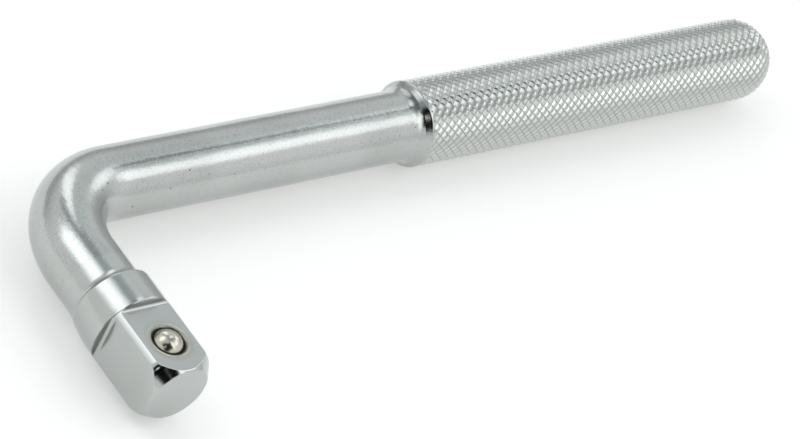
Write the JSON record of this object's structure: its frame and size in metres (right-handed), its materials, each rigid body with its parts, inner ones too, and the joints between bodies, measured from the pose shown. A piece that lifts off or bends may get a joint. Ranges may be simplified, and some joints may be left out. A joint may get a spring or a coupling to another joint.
{
  "type": "l-shaped breaker bar",
  "caption": "Bent steel bar with a square drive and spring-loaded detent ball on its short leg and a round knurled grip on its long leg, for turning sockets.",
  "frame": {"origin": "centre of the square drive's end face", "axes": "the short leg runs along +Y from the drive's end face to the bend, the long leg runs along +X to the grip's tip, and the detent ball looks out along +Z"},
  "size_m": [0.2023, 0.0584, 0.0173],
  "materials": {
    "chrome_plate": "satin chrome plate on turned and bent steel",
    "ball_steel": "polished bearing steel",
    "spring_wire": "drawn spring wire"
  },
  "bodies": {
    "bar": {"bar": "chrome_plate", "detent_spring": "spring_wire"},
    "ball": {"detent_ball": "ball_steel"}
  },
  "joints": [
    {"name": "ball_press", "type": "slide", "parent": "bar", "child": "ball", "axis": [0, 0, -1], "range_m": [0, 0.00155], "stiffness_N_per_m": 2500, "springref_m": -0.001, "deforming": ["detent_spring"]}
  ]
}
